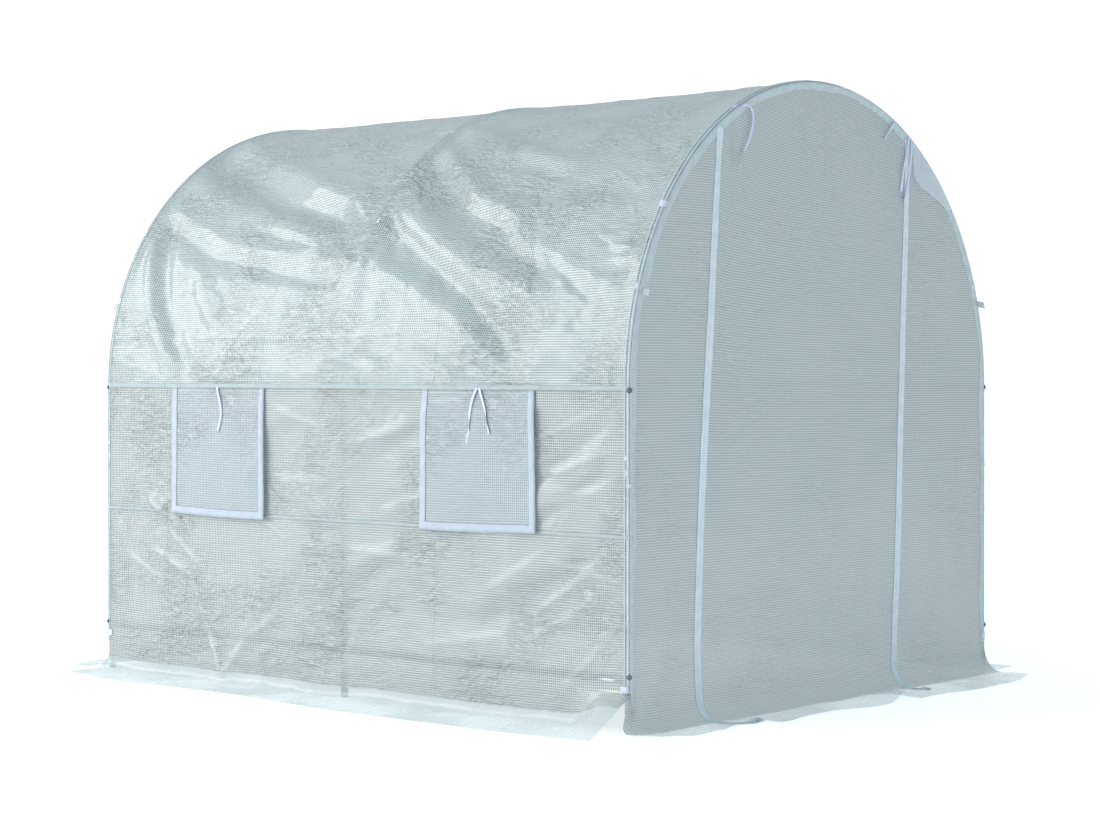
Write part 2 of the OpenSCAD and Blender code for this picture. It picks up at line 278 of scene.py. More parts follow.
def filmMaterial(name, film):
    # translucent film with a welded net, crinkles, packing creases and painted highlights along
    # creases and ridges, on flat coordinates
    material, tree = shaderTree(name)
    flat, flatX, flatY = flatSpots(tree)
    half = film["pitch"] / 2
    warp = lines(tree, flatX, half, half * 0.22, half * 0.60, film["warp"])
    weft = lines(tree, flatY, half, half * 0.22, half * 0.60, film["weft"])
    net = mathNode(tree, "MAXIMUM", warp, weft)
    cloudy = ramp(tree, noiseNode(tree, flat, 1.7, 3.0, 0.55), 0.35, 0.65)
    cell = blendColour(tree, cloudy, film["cellCool"], film["cellWarm"])
    # crinkles: two sizes of ridged noise, drawn out along the film's slant
    slanted = addNode(tree, "Mapping", Vector=flat, Rotation=(0, 0, film["slant"]),
                      Scale=(1.0, film["stretch"], 1.0)).outputs[0]
    large = ridges(tree, slanted, 6.0, 3.0, 0.6)
    small = ridges(tree, slanted, 24.0, 2.0, 0.8)
    patches = noiseRamp(tree, flat, 2.6, 2.0, 0.25, 1.0, 0.42, 0.62)
    # painted highlights: the film is painted near white along its marked raised creases, and in thin
    # lines along the crinkles' ridges, where they would catch the light
    markedHighlights = addNode(tree, "Attribute", {"attribute_name": "crease"}).outputs["Fac"]
    ridgeHighlightLines = ramp(tree, large, 0.0, 0.011, film["ridgeHighlightStrength"], 0.0)
    thinHighlights = mathNode(tree, "MULTIPLY", patches, ridgeHighlightLines)
    creased = mathNode(tree, "MAXIMUM", markedHighlights, thinHighlights)
    netted = blendColour(tree, net, cell, film["thread"])
    # the painted highlights take the creased colour over the netted film
    colour = blendColour(tree, creased, netted, film["creased"])
    both = mathNode(tree, "MULTIPLY_ADD", small, 0.5, large)
    crinkles = mathNode(tree, "MULTIPLY", patches, both)
    packing = mathNode(tree, "MAXIMUM", lines(tree, flatX, film["packX"], 0.0, film["packWidth"]),
                       lines(tree, flatY, film["packY"], 0.0, film["packWidth"]))
    relief = mathNode(tree, "MULTIPLY", net, film["relief"])
    height = mathNode(tree, "MULTIPLY_ADD", crinkles, -film["crinkle"],
                      mathNode(tree, "MULTIPLY_ADD", packing, film["crease"], relief))
    bump = bumpNode(tree, height)
    rough = noiseRamp(tree, flat, 9.0, 3.0, *film["rough"])
    skin = skinNode(tree, colour, rough, bump, IOR=film["ior"], Coat_Weight=film["coat"],
                    Coat_Roughness=film["coatRough"])
    glow = addNode(tree, "BsdfTranslucent", Color=colour, Normal=bump).outputs[0]
    body = mixShader(tree, film["glow"], skin, glow)
    # the painted highlights are not see-through
    clear = mathNode(tree, "MULTIPLY", ramp(tree, net, 0.0, 0.8, *film["clear"]),
                     mathNode(tree, "SUBTRACT", 1.0, creased))
    addNode(tree, "OutputMaterial", Surface=seeThrough(tree, clear, body, clearTint))
    return material


# creased is the colour of the painted crease highlights; the ridge highlight strength sets the thin
# painted highlights along the crinkles' ridges
netFilm = {"pitch": 0.008, "warp": 1.0, "weft": 1.0, "relief": 0.0002, "crinkle": 0.030,
           "crease": 0.0016, "packX": 0.41, "packY": 0.38, "packWidth": 0.006, "slant": 0.6,
           "stretch": 2.3, "creased": (0.88, 0.92, 0.91), "ridgeHighlightStrength": 0.45, "rough": (0.28, 0.42),
           "ior": 1.5, "coat": 0.7, "coatRough": 0.08, "glow": 0.30, "clear": (0.17, 0.03)}
roofFilm = dict(netFilm, crinkle=0.046, cellCool=(0.18, 0.23, 0.248), cellWarm=(0.23, 0.265, 0.26),
                thread=(0.65, 0.73, 0.73))
sideFilm = dict(netFilm, crinkle=0.042, cellCool=(0.17, 0.205, 0.215),
                cellWarm=(0.225, 0.24, 0.228), thread=(0.62, 0.665, 0.655))
# the end walls get fainter painted ridge highlights
endFilm = dict(netFilm, ridgeHighlightStrength=0.12, crinkle=0.014, crease=0.0010, coat=0.25, warp=0.55,
               clear=(0.12, 0.03), rough=(0.32, 0.44), cellCool=(0.395, 0.455, 0.475),
               cellWarm=(0.44, 0.49, 0.465), thread=(0.66, 0.705, 0.715))
flapFilm = dict(netFilm, crinkle=0.034, clear=(0.20, 0.05), cellCool=(0.30, 0.365, 0.41),
                cellWarm=(0.33, 0.385, 0.41), thread=(0.60, 0.67, 0.71))


def plainFilmMaterial(name, tint, clear):
    # the skirts' smooth film, with no net in it
    material, tree = shaderTree(name)
    flat = addNode(tree, "TexCoord").outputs["UV"]
    cloudy = noiseRamp(tree, flat, 5.0, 3.0, low=0.35, high=0.65)
    colour = blendColour(tree, cloudy, tint, shade(tint, 1.12))
    wrinkles = mathNode(tree, "MULTIPLY", ridges(tree, flat, 11.0, 3.0, 0.7), -0.003)
    skin = skinNode(tree, colour, noiseRamp(tree, flat, 14.0, 2.0, 0.14, 0.3),
                    bumpNode(tree, wrinkles), IOR=1.5, Coat_Weight=0.3)
    share = noiseRamp(tree, flat, 3.0, 2.0, *clear)
    addNode(tree, "OutputMaterial", Surface=seeThrough(tree, share, skin, clearTint))
    return material


def tapeMaterial(name, tint, pitch, relief, clear=0.0):
    # woven or welded tape: fine ribs along and across, slightly uneven
    material, tree = shaderTree(name)
    flat, flatX, flatY = flatSpots(tree)
    ribs = ramp(tree, mathNode(tree, "PINGPONG", flatY, pitch), 0, pitch)
    wales = ramp(tree, mathNode(tree, "PINGPONG", flatX, pitch * 0.7), 0, pitch * 0.7)
    weave = mathNode(tree, "MULTIPLY", mathNode(tree, "ADD", ribs, wales), relief)
    colour = blendColour(tree, noiseRamp(tree, flat, 30.0, 3.0), tint, shade(tint, 0.9))
    last = skinNode(tree, colour, noiseRamp(tree, flat, 40.0, 2.0, 0.4, 0.6), bumpNode(tree, weave))
    if clear:
        last = seeThrough(tree, clear, last)
    addNode(tree, "OutputMaterial", Surface=last)
    return material


def meshMaterial(name, tint, pitch):
    # insect screen: open squares between fine threads
    material, tree = shaderTree(name)
    flat, flatX, flatY = flatSpots(tree)
    threads = mathNode(tree, "MAXIMUM", lines(tree, flatX, pitch / 2, pitch * 0.1, pitch * 0.24),
                       lines(tree, flatY, pitch / 2, pitch * 0.1, pitch * 0.24))
    colour = blendColour(tree, noiseRamp(tree, flat, 20.0, 2.0), tint, shade(tint, 0.88))
    skin = skinNode(tree, colour, 0.5, bumpNode(tree, mathNode(tree, "MULTIPLY", threads, 0.0002)))
    share = ramp(tree, threads, 0, 1, 0.75, 0.05)
    addNode(tree, "OutputMaterial", Surface=seeThrough(tree, share, skin))
    return material


def steelMaterial(name, tint, rough, grain):
    # galvanised or zinc-plated steel: cloudy spangle, fine drawing lines, dull patches
    material, tree = shaderTree(name)
    spot = addNode(tree, "TexCoord").outputs["Object"]
    spangle = addNode(tree, "TexVoronoi", Vector=spot, Scale=grain).outputs["Color"]
    dull = noiseRamp(tree, spot, 9.0, 4.0, low=0.35, high=0.65)
    fine = addNode(tree, "SeparateColor", Color=spangle).outputs[0]
    worn = mathNode(tree, "MULTIPLY_ADD", fine, 0.4, mathNode(tree, "MULTIPLY", dull, 0.6))
    drawn = bumpNode(tree, noiseNode(tree, spot, grain * 3, 2.0), 0.15, 0.0005)
    metal = skinNode(tree, blendColour(tree, dull, tint, shade(tint, 0.72)),
                     ramp(tree, worn, 0.0, 1.0, *rough), drawn, Metallic=0.6)
    addNode(tree, "OutputMaterial", Surface=metal)
    return material


coverFilm = filmMaterial("coverFilm", roofFilm)
wallFilm = filmMaterial("wallFilm", sideFilm)
endWallFilm = filmMaterial("endWallFilm", endFilm)
windowFilm = filmMaterial("windowFilm", flapFilm)
skirtFilm = plainFilmMaterial("skirtFilm", (0.47, 0.53, 0.545), (0.40, 0.62))
hemTape = tapeMaterial("hemTape", (0.47, 0.535, 0.62), 0.0012, 0.0001)
archTape = tapeMaterial("archTape", (0.64, 0.74, 0.78), 0.003, 0.0002, 0.25)
seamTape = tapeMaterial("seamTape", (0.54, 0.62, 0.64), 0.003, 0.0002, 0.35)
gussetFilm = plainFilmMaterial("gussetFilm", (0.66, 0.73, 0.79), (0.25, 0.45))
zipTape = tapeMaterial("zipTape", (0.68, 0.79, 0.85), 0.0011, 0.0001)
ribbonWeave = tapeMaterial("ribbonWeave", (0.68, 0.73, 0.95), 0.0009, 0.00008)
strapWeave = tapeMaterial("strapWeave", (0.66, 0.71, 0.84), 0.0014, 0.0002)
screenMesh = meshMaterial("screenMesh", (0.66, 0.76, 0.80), 0.0016)
tubeSteel = steelMaterial("tubeSteel", (0.66, 0.74, 0.79), (0.34, 0.6), 120.0)
boltSteel = steelMaterial("boltSteel", (0.20, 0.22, 0.24), (0.3, 0.55), 260.0)
print("materials ready")

ribbon = {"width": 0.009, "thickness": 0.0007, "twist": 1.1, "standOff": 0.0007}
flapFace = -flapBoxes["left_front_window_flap"][0].x - ribbon["standOff"]
windowY = sum((flapBoxes["left_rear_window_flap"][i].y for i in (0, 1))) / 2

# in mm: along the wall, height above the eave, distance out from the film
windowTieA = [(0, 0, 0.7), (-6, -14, 4), (-14, -32, 5), (-22, -58, 6), (-27, -88, 6),
              (-29, -118, 6), (-33, -146, 6), (-40, -172, 6)]
windowTieB = [(10, 0, 0.7), (17, -14, 4), (26, -34, 5), (36, -60, 6), (43, -86, 6), (48, -112, 6),
              (56, -142, 6)]
windowTieC = [(0, 0, 0.7), (4, -14, 4), (12, -36, 5), (20, -60, 6), (24, -86, 6), (22, -112, 6),
              (14, -136, 6), (6, -156, 6)]
# in mm: across the door, height above the ground, distance out from the film
doorTieA = [(-446, 1898, 2.2), (-436, 1906, 4), (-414, 1902, 6), (-400, 1884, 6), (-398, 1856, 6),
            (-406, 1826, 6), (-422, 1794, 6), (-442, 1764, 6), (-462, 1738, 6), (-478, 1714, 6)]
doorTieB = [(408, 1916, 2.2), (396, 1906, 4), (380, 1892, 6), (362, 1874, 6), (344, 1854, 6)]
doorTieC = [(512, 1862, 2.2), (510, 1846, 4), (506, 1816, 6), (500, 1782, 6), (492, 1748, 6),
            (482, 1714, 6), (470, 1680, 6), (458, 1648, 6)]
doorTieD = [(496, 1874, 2.2), (490, 1856, 4), (480, 1828, 6), (468, 1794, 6), (458, 1758, 6),
            (449, 1720, 6), (441, 1684, 6)]


def makeRibbon(name, route, outward, seed):
    line = smoothPath(route, 8)
    length = pathLength(line)

    def place(u, w):
        here, along = pathFrame(line, w)
        across = along.cross(outward).normalized()
        wave = noise.noise(Vector((w * 3.1, seed, 0.5))) * 2
        turn = ribbon["twist"] * smoothStep(0.25, 1, w) * wave
        across = Matrix.Rotation(turn, 3, along) @ across
        return here + across * (u - 0.5) * ribbon["width"]

    bm = bentGrid(4, len(line) - 1, place, lambda u, w: (u * ribbon["width"], w * length),
                  lambda at: outward)
    piece = solidify(newPiece(name + "_ribbon", bm, ribbonWeave), ribbon["thickness"])
    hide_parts(name)


for side, sideName in sides:
    for name, y, route, seed in (("front_window_tie_a", -windowY, windowTieA, 1.3),
                                 ("front_window_tie_b", -windowY, windowTieB, 4.1),
                                 ("rear_window_tie", windowY, windowTieC, 7.7)):
        points = [Vector((side * (flapFace + out / 1000), y - along / 1000, eaveHeight + up / 1000))
                  for along, up, out in route]
        makeRibbon(f"{sideName}_{name}", points, Vector((side, 0, 0)), seed + side)
for name, route, seed in (("left", doorTieA, 2.2), ("right_short", doorTieB, 3.9),
                          ("right_a", doorTieC, 5.4), ("right_b", doorTieD, 9.6)):
    points = [Vector((across / 1000, -halfLength - out / 1000, up / 1000))
              for across, up, out in route]
    makeRibbon(f"door_tie_{name}", points, Vector((0, -1, 0)), seed)
print("ribbons hung")

# how the film lies: what it sags and crinkles by, and how far from a tube it is held
lie = {"sag": 0.017, "wallSag": 0.007, "billow": 0.007, "crinkle": 0.0070, "fineCrinkle": 0.0036,
       "hoopDrop": 0.006, "foldRise": 2.1, "hoopHold": 0.11, "railHold": 0.16, "offGround": 0.0007}
skirt = {"bend": 0.022, "uneven": 0.022, "frontFlare": {-1: 0.060, 1: 0.010}, "rearFlare": 0.02,
         "cornerTop": 0.115, "ripple": 0.004, "crinkle": 0.002, "gather": 0.3}
# painted highlights along the raised creases: half width, strongest share, and the ridge height at
# which they are full
creaseHighlight = {"width": 0.013, "most": 0.62, "fullRise": 0.012}

# soft folds of the left side: from (along, up the film) to (along, up the film), half width, rise
foldLines = [
    (1.22, 2.15, 0.76, 1.92, 0.08, 0.019), (0.76, 1.92, 0.45, 1.77, 0.08, 0.021),
    (0.45, 1.77, 0.11, 1.65, 0.07, 0.018), (1.23, 1.74, 0.78, 1.54, 0.06, 0.010),
    (0.78, 1.54, 0.37, 1.46, 0.05, 0.009), (0.37, 1.46, 0.08, 1.42, 0.05, 0.006),
    (1.20, 1.97, 0.70, 1.74, 0.08, -0.014), (0.70, 1.74, 0.20, 1.60, 0.07, -0.012),
    (1.15, 1.62, 1.01, 1.32, 0.05, -0.013), (1.01, 1.32, 0.81, 1.05, 0.05, -0.015),
    (0.88, 1.42, 0.62, 1.12, 0.05, 0.006), (0.06, 1.86, -0.39, 1.55, 0.07, -0.014),
    (-0.39, 1.55, -0.80, 1.36, 0.06, -0.012), (0.00, 1.52, -0.48, 1.29, 0.06, -0.012),
    (-0.48, 1.29, -0.79, 1.04, 0.05, -0.010), (-0.06, 1.94, -0.35, 1.70, 0.05, 0.015),
    (-0.35, 1.70, -0.62, 1.58, 0.05, 0.012), (0.02, 1.68, -0.40, 1.42, 0.045, 0.010),
    (-0.40, 1.42, -0.72, 1.22, 0.045, 0.009), (-0.15, 2.12, -0.60, 1.90, 0.09, -0.012),
    (-0.58, 1.68, -1.06, 1.66, 0.06, -0.007), (0.10, 2.16, -0.12, 2.05, 0.05, 0.014),
    (-0.45, 1.90, -0.75, 1.80, 0.05, 0.012), (-0.84, 0.62, -1.12, 0.78, 0.03, 0.006),
    (-0.84, 0.70, -1.15, 0.90, 0.03, -0.005), (-0.18, 0.63, -0.45, 0.71, 0.03, -0.005),
    (-0.60, 0.30, -1.05, 0.52, 0.05, 0.007), (0.10, 0.34, -0.30, 0.50, 0.04, 0.006),
    (1.05, 0.66, 0.86, 0.50, 0.04, 0.008), (0.30, 0.66, 0.05, 0.56, 0.04, 0.007),
    (1.15, 0.45, 1.10, 0.12, 0.05, -0.006), (0.35, 0.88, 0.02, 0.96, 0.05, 0.006),
    (-0.10, 0.80, -0.34, 0.90, 0.04, 0.006),
]
# sharp creases: same numbers, with the height of the ridge
creaseLines = [
    (0.63, 1.05, 0.56, 1.20, 0.010, 0.0090), (0.56, 1.20, 0.43, 1.31, 0.010, 0.0085),
    (0.84, 1.20, 0.30, 1.19, 0.009, 0.0050), (0.30, 1.19, -0.26, 1.20, 0.009, 0.0050),
    (-0.24, 1.04, -0.24, 1.36, 0.009, 0.0035), (-0.69, 1.62, -0.79, 1.33, 0.012, -0.0070),
    (-0.79, 1.46, -1.03, 1.29, 0.012, -0.0075), (-1.07, 1.35, -0.96, 1.20, 0.012, -0.0060),
    (0.60, 0.02, 0.68, 0.21, 0.011, 0.0110), (0.60, 0.02, 0.47, 0.16, 0.011, 0.0120),
    (0.47, 0.16, 0.30, 0.26, 0.011, 0.0080), (0.60, 0.02, 0.63, 0.13, 0.010, 0.0090),
    (0.22, 2.44, 0.40, 2.40, 0.014, 0.0060), (0.14, 2.14, -0.05, 2.08, 0.016, 0.0070),
    (-0.53, 1.80, -0.80, 1.72, 0.014, 0.0060), (0.02, 0.05, -0.10, 0.30, 0.012, 0.0050),
    (0.92, 0.30, 0.88, 0.90, 0.012, 0.0035), (-0.95, 0.10, -1.18, 0.30, 0.014, 0.0060),
    (0.99, 0.62, 0.82, 0.54, 0.016, 0.0150), (0.97, 0.45, 0.76, 0.36, 0.014, 0.0110),
    (0.88, 0.52, 0.69, 0.38, 0.013, 0.0100), (1.11, 0.42, 0.88, 0.33, 0.014, 0.0080),
    (-0.85, 0.33, -1.19, 0.56, 0.013, 0.0085), (-0.78, 0.22, -1.15, 0.43, 0.013, 0.0075),
    (-0.66, 0.40, -0.89, 0.52, 0.013, 0.0065), (-0.90, 0.76, -1.19, 0.85, 0.013, 0.0080),
    (-0.90, 0.67, -1.19, 0.74, 0.012, 0.0060), (-0.36, 0.20, -0.72, 0.25, 0.014, 0.0060),
    (-0.01, 0.84, -0.32, 0.90, 0.013, 0.0070), (0.33, 0.72, 0.06, 0.70, 0.012, 0.0060),
    (-0.01, 0.50, -0.45, 0.46, 0.013, 0.0060), (0.33, 0.95, 0.06, 0.88, 0.013, 0.0060),
    (-0.84, 0.86, -1.16, 0.98, 0.012, 0.0050), (-0.90, 0.50, -1.20, 0.44, 0.012, 0.0050),
    (-0.72, 0.10, -0.74, 0.95, 0.009, 0.0028), (-0.86, 0.72, -1.10, 0.70, 0.010, 0.0045),
    (0.70, 0.22, 0.78, 0.40, 0.012, 0.0050), (0.45, 0.60, 0.25, 0.50, 0.012, 0.0045),
]

# outer edges of the skirts, as (along, out from the middle of the tunnel)
sideEdge = [(-1.24, 1.189), (-0.84, 1.229), (-0.25, 1.241), (0.38, 1.195), (0.92, 1.224),
            (1.21, 1.178), (1.25, 1.17)]
frontEdge = [(-1.035, 1.257), (-0.995, 1.354), (-0.863, 1.406), (-0.607, 1.361), (-0.493, 1.427),
             (-0.223, 1.406), (0.036, 1.459), (0.283, 1.452), (0.554, 1.480), (0.80, 1.462),
             (0.983, 1.418), (1.035, 1.30)]
rearEdge = [(-1.10, 1.36), (-0.90, 1.43), (-0.40, 1.40), (0.10, 1.44), (0.60, 1.41), (0.95, 1.43),
            (1.04, 1.33)]


def onEdge(edge, along):
    for (a0, out0), (a1, out1) in zip(edge, edge[1:]):
        if along <= a1:
            return mix(out0, out1, smoothStep(a0, a1, along))
    return edge[-1][1]


def measured(drawn, mirror):
    # each line as start, length, direction, width and rise
    ready = []
    for y0, s0, y1, s1, width, rise in drawn:
        y0, y1 = y0 * mirror, y1 * mirror
        length = math.hypot(y1 - y0, s1 - s0)
        ready.append((y0, s0, length, (y1 - y0) / length, (s1 - s0) / length, width, rise))
    return ready


folds = {side: measured(foldLines, -side) for side in (-1, 1)}
creases = {side: measured(creaseLines, -side) for side in (-1, 1)}


def foldLift(side, y, s):
    lift = 0
    for soft, drawn in ((True, folds[side]), (False, creases[side])):
        for y0, s0, length, alongY, alongS, width, rise in drawn:
            run = (y - y0) * alongY + (s - s0) * alongS
            spare = width * (1.2 if soft else 2.5)
            if not -spare < run < length + spare:
                continue
            up = 1 if alongY > 0 else -1
            off = ((s - s0) * alongY - (y - y0) * alongS) * up / width
            if abs(off) > 4:
                continue
            taper = smoothStep(-spare, spare, run) * smoothStep(-spare, spare, length - run)
            wave = off * math.exp(-off * off) * lie["foldRise"] if soft else math.exp(-abs(off))
            lift += rise * taper * wave
    return lift


def paintCreaseHighlights(piece, spotOn):
    # painted highlights: the film is painted white along its raised sharp creases, where they would
    # catch the light; spotOn gives the side and spot for a flat place
    mesh = piece.data
    flat = mesh.uv_layers["flat"].data
    shares = {}
    for loop in mesh.loops:
        if loop.vertex_index in shares:
            continue
        side, y, s = spotOn(*flat[loop.index].uv)
        share = 0
        for y0, s0, length, alongY, alongS, width, rise in creases[side]:
            run = ((y - y0) * alongY + (s - s0) * alongS) / length
            off = abs((s - s0) * alongY - (y - y0) * alongS)
            if rise > 0 and -0.05 < run < 1.05 and off < creaseHighlight["width"]:
                taper = smoothStep(-0.05, 0.15, run) * smoothStep(1.05, 0.6, run)
                full = min(1, rise / creaseHighlight["fullRise"])
                share = max(share, (1 - off / creaseHighlight["width"]) * full * taper)
        shares[loop.vertex_index] = creaseHighlight["most"] * share
    layer = mesh.attributes.new("crease", "FLOAT", "POINT")
    layer.data.foreach_set("value", [shares[i] for i in range(len(mesh.vertices))])


def ridged(point, scale, seed):
    spot = Vector((point.x * scale + seed, point.y * scale, point.z * scale))
    warp = noise.noise_vector(spot * 0.6) * 0.7
    return 1 - 2 * abs(noise.noise(spot + warp))


def filmDip(side, y, s, point):
    # how far the film stands out from its tubes, inwards below 0
    hoopGap = min(abs(y), abs(hoopY - abs(y)))
    if hoopGap < 0.003 or abs(y) > hoopY:
        return 0
    free = smoothStep(0.004, lie["hoopHold"], hoopGap)
    railGap = min(abs(s - eaveRailHeight), abs(s - footRailHeight), abs(s - eaveHeight - crownArc))
    loose = smoothStep(0.0, lie["railHold"], railGap)
    bay = 1 - (2 * abs(y) / hoopY - 1) ** 2
    arch = smoothStep(eaveHeight, eaveHeight + 0.5, s)
    dip = -mix(lie["wallSag"], lie["sag"], arch) * bay * loose
    dip -= lie["hoopDrop"] * arch * loose * smoothStep(0.010, 0.055, hoopGap)
    swell = noise.noise(point * 2.3 + Vector((side * 3.7, 1.9, 0)))
    dip += lie["billow"] * swell * free * mix(0.35, 1, loose)
    patch = smoothStep(-0.15, 0.35, noise.noise(point * 1.6 + Vector((5.2, side, 0))))
    lean = Vector((point.x, point.y + 0.55 * s, (s - 0.45 * y) * 1.9))
    dip += lie["crinkle"] * (ridged(lean, 3.4, side * 2.3) - 0.55) * free * mix(0.45, 1, patch)
    dip += lie["fineCrinkle"] * (ridged(lean, 12.0, 4.4) - 0.55) * free * mix(0.2, 1, patch)
    fade = 1 - smoothStep(2.35, 2.55, s)
    dip += foldLift(side, y, s) * free * mix(0.45, 1, loose) * fade
    if abs(abs(y) - windowY) < 0.28 and 0.54 < s < eaveHeight + 0.03:
        dip = min(dip, 0.0002)                      # flat behind the window flaps
    return max(dip, -0.0004 - 0.05 * loose)         # never in through a tube


def fillet(d, radius, settle=0.5):
    # film coming down a wall and turning out along the ground: out from the wall, and height
    bend = math.pi * radius / 4
    if d >= bend:
        return 0, d + (radius - bend) * (1 - smoothStep(bend, settle, d))
    if d <= -bend:
        return radius - bend - d, 0
    turn = (bend - d) / radius
    return radius * (1 - math.cos(turn)), radius * (1 - math.sin(turn))


def filletEnd(radius, reach):
    # run of film, below 0, at which a bend of this radius comes to that reach
    return radius - math.pi * radius / 4 - reach


def sideFillet(side, y):
    flare = (skirt["frontFlare"][side] * smoothStep(0.97, 1.23, -y)
             + skirt["rearFlare"] * smoothStep(1.05, 1.23, y))
    return skirt["bend"] + flare + skirt["uneven"] * noise.noise(Vector((y * 3.3, side * 2.1, 0.4)))


def skirtOut(y):
    return onEdge(sideEdge, y) - hoopRadius - wrapRadius


def skirtBottom(side, y):
    return filletEnd(sideFillet(side, y), skirtOut(y))


def sidePlace(side, y, s, lift=0):
    # a spot of the roof or side film: along the tunnel, up the film, and lifted off it
    theta = min(max(0, s - eaveHeight) / archRadius, math.pi)
    out = Vector((side * math.cos(theta), 0, math.sin(theta)))
    height = min(s, eaveHeight)
    spread, drop = 0, 0
    if s < skirt["gather"]:
        spread, height = fillet(s, sideFillet(side, y))
        # by the front left corner the film slopes straight down
        tent = smoothStep(0.98, 1.21, -y) if side < 0 else 0
        top = skirt["cornerTop"]
        if tent > 0 and s < top:
            share = (top - s) / (top - skirtBottom(side, y))
            spread = mix(spread, share * skirtOut(y), tent)
            height = mix(height, (1 - share) * top, tent)
        drop = smoothStep(0.10 if y < 0 else 0.05, 0.0, s)
    if s < eaveHeight:
        rough = Vector((side * hoopRadius, y, height))
    else:
        rough = Vector((0, y, eaveHeight)) + out * hoopRadius
    dip = filmDip(side, y, s, rough)
    past = max(0, abs(y) - hoopY)
    turn = min(past / wrapRadius, math.pi / 2)
    reach = mix((wrapRadius + lift) * math.cos(turn), wrapRadius + lift, drop)
    along = min(abs(y), hoopY) + mix((wrapRadius + lift) * math.sin(turn), past, drop)
    centre = Vector((0, math.copysign(along, y), height if s < eaveHeight else eaveHeight))
    if s < skirt["gather"]:
        grounded = smoothStep(0.012, 0.05, spread)
        wave = noise.noise(Vector((side * 4, y * 5.5, spread * 6)))
        ripple = skirt["ripple"] * max(0, wave + 0.12)
        crinkle = ridged(Vector((spread * 0.8, y, side)), 7.0, 1.1)
        ripple += skirt["crinkle"] * max(0, crinkle - 0.35)
        ripple *= mix(1, 0.35, smoothStep(0.1, 0.2, spread))
        centre.z += grounded * ripple + lie["offGround"] + lift * grounded
        dip = dip * (1 - grounded)
    return centre + out * (hoopRadius + spread + reach + dip)


endSkirt = {"bend": 0.075, "shareOfReach": 0.8, "leastReach": 0.02, "ripple": 0.008, "pleat": 0.034,
            "smallPleat": 0.012, "cornerRipple": 0.006}
slack = {"inside": 0.0035, "billow": 0.007, "crinkle": 0.003, "fineCrinkle": 0.0012,
         "headGather": 0.005, "cornerFold": 0.010}


def frontReach(x, end):
    edge = frontEdge if end < 0 else rearEdge
    return max(endSkirt["leastReach"], onEdge(edge, x) - frontY)


def endFillet(x, end):
    return min(endSkirt["bend"], frontReach(x, end) * endSkirt["shareOfReach"])


def hump(value, middle, width):
    return math.exp(-((value - middle) / width) ** 2)


def endDip(end, x, z):
    # the end wall's film hangs slack inside the hoop
    fromHoop = hoopRadius - (abs(x) if z < eaveHeight else math.hypot(x, z - eaveHeight))
    free = smoothStep(-0.012, 0.10, fromHoop)
    dip = -slack["inside"] * smoothStep(-0.013, 0.02, fromHoop)
    dip += slack["billow"] * noise.noise(Vector((x, end, z)) * 1.7 + Vector((0, 8.1, 0))) * free
    dip += slack["crinkle"] * noise.noise(Vector((x * 9, end, z * 2.2))) * free
    lean = Vector((x * 1.6, end, z * 0.8 + x * 0.5))
    dip += slack["fineCrinkle"] * (ridged(lean, 6.0, 3.3) - 0.5) * free
    # small gathers under the door's two top corners, and a fold at the front left foot
    gather = hump(x, -0.46, 0.10) + 0.6 * hump(x, 0.52, 0.09)
    dip += slack["headGather"] * gather * math.sin(x * 95) * smoothStep(1.25, 1.75, z) * free
    foot = hump(x + 0.90 - (z - 0.1) * 0.25, 0, 0.035)
    dip += slack["cornerFold"] * foot * smoothStep(0.45, 0.1, z) * free
    return dip


def frontPlace(end, x, d, lift=0):
    # a spot of an end's film: across the tunnel, up the film, and lifted off it
    radius = endFillet(x, end)
    out, height = fillet(d, radius)
    grounded = smoothStep(0.3 * radius, 1.1 * radius, out)
    dip = endDip(end, x, max(height, 0)) * (1 - grounded)
    wave = noise.noise(Vector((x * 4.5, end * 2, out * 5)))
    ripple = endSkirt["ripple"] * max(0, wave + 0.1)
    if end < 0:
        pleat = hump(x, 0.13, 0.055) * smoothStep(0.03, 0.16, out)
        smallPleat = hump(x, -0.56, 0.03) * smoothStep(0.08, 0.14, out)
        ripple += endSkirt["pleat"] * pleat + endSkirt["smallPleat"] * smallPleat
        ripple += (endSkirt["cornerRipple"] * smoothStep(0.4, 1.0, abs(x))
                   * max(0, math.sin(x * 21)) * smoothStep(0.05, 0.12, out))
    return Vector((x, end * (frontY + out + dip + lift * (1 - grounded)),
                   height + lie["offGround"] + grounded * (ripple + lift)))


cover = {"cell": 0.011, "skirtTop": 0.03, "frontSkirtTop": -0.045}


def roofPlace(u, w):
    y, run = mix(-filmEnd, filmEnd, u), w * crownReach
    if run <= crownArc:
        return sidePlace(-1, y, eaveHeight + run)
    return sidePlace(1, y, eaveHeight + crownReach - run)


def roofSpot(along, s):
    if s < eaveHeight + crownArc:
        return -1, along - filmEnd, s
    return 1, along - filmEnd, 2 * eaveHeight + crownReach - s


filmColumns = round(2 * filmEnd / cover["cell"])
roof = newPiece("roof_sheet_film", bentGrid(
    filmColumns, round(crownReach / cover["cell"]), roofPlace,
    lambda u, w: (u * 2 * filmEnd, eaveHeight + w * crownReach),
    lambda at: Vector((at.x, 0, at.z - eaveHeight))), coverFilm)
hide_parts("roof_sheet")
paintCreaseHighlights(roof, roofSpot)
declareSheet(roof)
print("roof film laid")


def sideSheet(name, side, low, high, material, holes=()):
    def place(u, w):
        y = mix(-filmEnd, filmEnd, u)
        return sidePlace(side, y, mix(skirtBottom(side, y) if low < 0 else low, high, w))

    piece = newPiece(name + "_film", bentGrid(
        filmColumns, round((high - low) / cover["cell"]), place,
        lambda u, w: (u * 2 * filmEnd, mix(low, high, w)),
        lambda at: Vector((side, 0, 0.6 if low < 0 else 0)), holes), material)
    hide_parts(name)
    paintCreaseHighlights(piece, lambda along, s: (side, along - filmEnd, s))
    declareSheet(piece)


